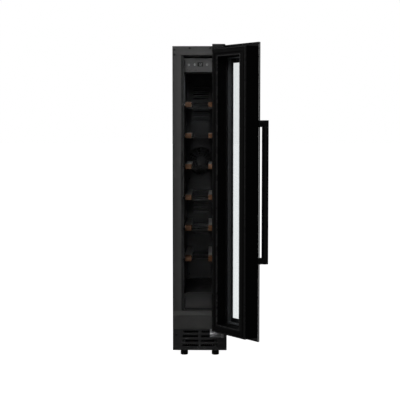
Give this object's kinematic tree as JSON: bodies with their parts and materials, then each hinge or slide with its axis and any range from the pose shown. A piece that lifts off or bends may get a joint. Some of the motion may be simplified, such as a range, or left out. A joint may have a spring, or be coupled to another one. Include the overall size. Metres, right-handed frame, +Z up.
{
  "type": "wine cooler",
  "caption": "Slim tall under-counter wine cooler with a grey front flange, wooden bottle shelves, a toe grille and a thick black glass door with a bar handle, standing open.",
  "frame": {"origin": "centre of the base plate's flat underside; the levelling feet reach 16 mm below it", "axes": "+Z up, -Y out of the front opening towards the user, +X to the right of a user facing the front, where the door is hinged"},
  "size_m": [0.2559, 0.6336, 0.8489],
  "materials": {
    "cabinet_paint": "satin",
    "front_flange": "satin",
    "toe_plastic": "matte",
    "liner_plastic": "satin",
    "fascia_plastic": "satin",
    "circuit_board": "satin",
    "light_lens": "satin",
    "foam": "matte",
    "beech_wood": "satin",
    "shelf_steel": "satin",
    "zinc_steel": "satin",
    "black_plastic": "matte",
    "foot_rubber": "matte",
    "gasket_rubber": "matte",
    "compressor_paint": "gloss",
    "fin_aluminium": "satin",
    "door_outer_glass": "gloss",
    "door_inner_glass": "gloss",
    "door_black": "satin",
    "handle_metal": "satin"
  },
  "bodies": {
    "cabinet": {"side_panel_left": "cabinet_paint", "side_panel_right": "cabinet_paint", "top_panel": "cabinet_paint", "rear_panel": "cabinet_paint", "front_frame": "front_flange", "lower_front_panel": "front_flange", "toe_grille": "toe_plastic", "inner_liner": "liner_plastic", "breaker_trim": "liner_plastic", "floor_cover": "liner_plastic", "control_housing": "liner_plastic", "rear_duct_cover": "liner_plastic", "control_fascia": "fascia_plastic", "control_board": "circuit_board", "interior_light": "light_lens", "insulation_foam": "foam", "base_plate": "zinc_steel", "hinge_bracket_top": "zinc_steel", "hinge_bracket_bottom": "zinc_steel", "hinge_pin_bottom": "zinc_steel", "grille_screw": "zinc_steel", "hinge_cover_top": "black_plastic", "fan_frame": "black_plastic", "condenser_fan_frame": "black_plastic", "electronics_box": "black_plastic", "drip_tray": "black_plastic", "power_inlet": "black_plastic", "compressor": "compressor_paint", "evaporator": "fin_aluminium", "condenser": "fin_aluminium"},
    "door": {"door_glass_outer": "door_outer_glass", "door_frame": "door_black", "door_gasket": "gasket_rubber", "door_glass_inner": "door_inner_glass", "door_spacer": "fin_aluminium", "handle": "handle_metal"},
    "shelf_1": {"shelf_1_frame": "shelf_steel", "shelf_1_cap_left": "beech_wood", "shelf_1_cap_right": "beech_wood"},
    "shelf_2": {"shelf_2_frame": "shelf_steel", "shelf_2_cap_left": "beech_wood", "shelf_2_cap_right": "beech_wood"},
    "shelf_3": {"shelf_3_frame": "shelf_steel", "shelf_3_cap_left": "beech_wood", "shelf_3_cap_right": "beech_wood"},
    "shelf_4": {"shelf_4_frame": "shelf_steel", "shelf_4_cap_left": "beech_wood", "shelf_4_cap_right": "beech_wood"},
    "shelf_5": {"shelf_5_frame": "shelf_steel", "shelf_5_cap_left": "beech_wood", "shelf_5_cap_right": "beech_wood"},
    "shelf_6": {"shelf_6_frame": "shelf_steel", "shelf_6_cap_left": "beech_wood", "shelf_6_cap_right": "beech_wood"},
    "foot_front_left": {"foot_front_left": "foot_rubber"},
    "foot_front_right": {"foot_front_right": "foot_rubber"},
    "foot_rear_left": {"foot_rear_left": "foot_rubber"},
    "foot_rear_right": {"foot_rear_right": "foot_rubber"},
    "fan_rotor": {"fan_rotor": "black_plastic"},
    "condenser_fan_rotor": {"condenser_fan_rotor": "black_plastic"}
  },
  "joints": [
    {"name": "door_hinge", "type": "hinge", "parent": "cabinet", "child": "door", "pos_m": [0.0622, -0.2695, 0], "axis": [0, 0, 1], "range_deg": [-126.69, 3.3]},
    {"name": "shelf_1_slide", "type": "slide", "parent": "cabinet", "child": "shelf_1", "axis": [0, -1, 0], "range_m": [0, 0.06]},
    {"name": "shelf_2_slide", "type": "slide", "parent": "cabinet", "child": "shelf_2", "axis": [0, -1, 0], "range_m": [0, 0.06]},
    {"name": "shelf_3_slide", "type": "slide", "parent": "cabinet", "child": "shelf_3", "axis": [0, -1, 0], "range_m": [0, 0.06]},
    {"name": "shelf_4_slide", "type": "slide", "parent": "cabinet", "child": "shelf_4", "axis": [0, -1, 0], "range_m": [0, 0.06]},
    {"name": "shelf_5_slide", "type": "slide", "parent": "cabinet", "child": "shelf_5", "axis": [0, -1, 0], "range_m": [0, 0.06]},
    {"name": "shelf_6_slide", "type": "slide", "parent": "cabinet", "child": "shelf_6", "axis": [0, -1, 0], "range_m": [0, 0.06]},
    {"name": "foot_front_left_level", "type": "slide", "parent": "cabinet", "child": "foot_front_left", "axis": [0, 0, -1], "range_m": [0, 0.012]},
    {"name": "foot_front_right_level", "type": "slide", "parent": "cabinet", "child": "foot_front_right", "axis": [0, 0, -1], "range_m": [0, 0.012]},
    {"name": "foot_rear_left_level", "type": "slide", "parent": "cabinet", "child": "foot_rear_left", "axis": [0, 0, -1], "range_m": [0, 0.012]},
    {"name": "foot_rear_right_level", "type": "slide", "parent": "cabinet", "child": "foot_rear_right", "axis": [0, 0, -1], "range_m": [0, 0.012]},
    {"name": "fan_spin", "type": "hinge", "parent": "cabinet", "child": "fan_rotor", "pos_m": [0, 0.0738, 0.512], "axis": [0, 1, 0], "continuous": true},
    {"name": "condenser_fan_spin", "type": "hinge", "parent": "cabinet", "child": "condenser_fan_rotor", "pos_m": [0, -0.1263, 0.0573], "axis": [0, 1, 0], "continuous": true}
  ]
}
